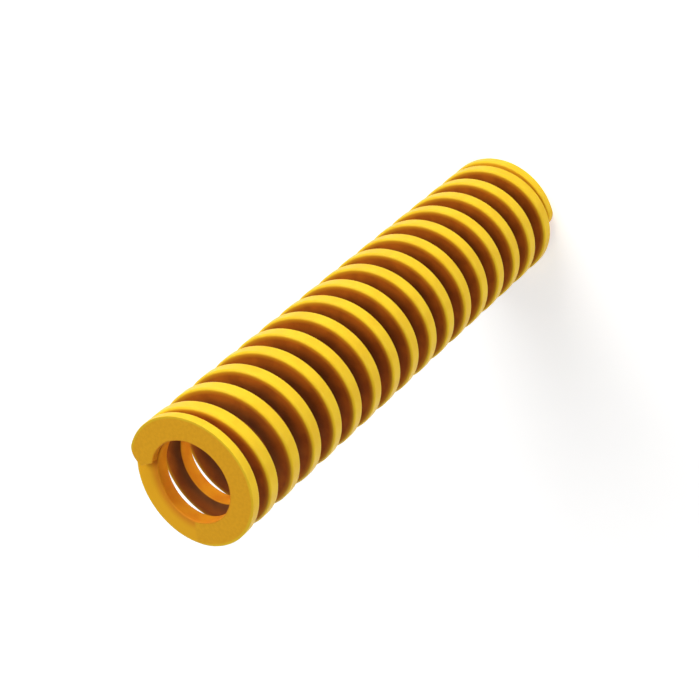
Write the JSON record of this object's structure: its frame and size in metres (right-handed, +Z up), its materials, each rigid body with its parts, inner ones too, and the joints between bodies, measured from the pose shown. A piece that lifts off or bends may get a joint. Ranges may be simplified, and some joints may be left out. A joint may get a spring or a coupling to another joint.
{
  "type": "die spring",
  "caption": "Right-hand compression spring of flattened wire with a yellow coating, its ends closed and ground flat to seat on a guide rod or in a pocket.",
  "frame": {"origin": "centre of the lower ground end, on the spring's axis", "axes": "+Z up the spring's axis, from the lower ground end to the upper one; the lower wire tip is at -Y and the upper at +Y"},
  "size_m": [0.01, 0.01, 0.045],
  "materials": {
    "coating": "glossy yellow enamel on spring steel"
  },
  "bodies": {
    "root": {"die_spring": "coating"}
  },
  "joints": []
}
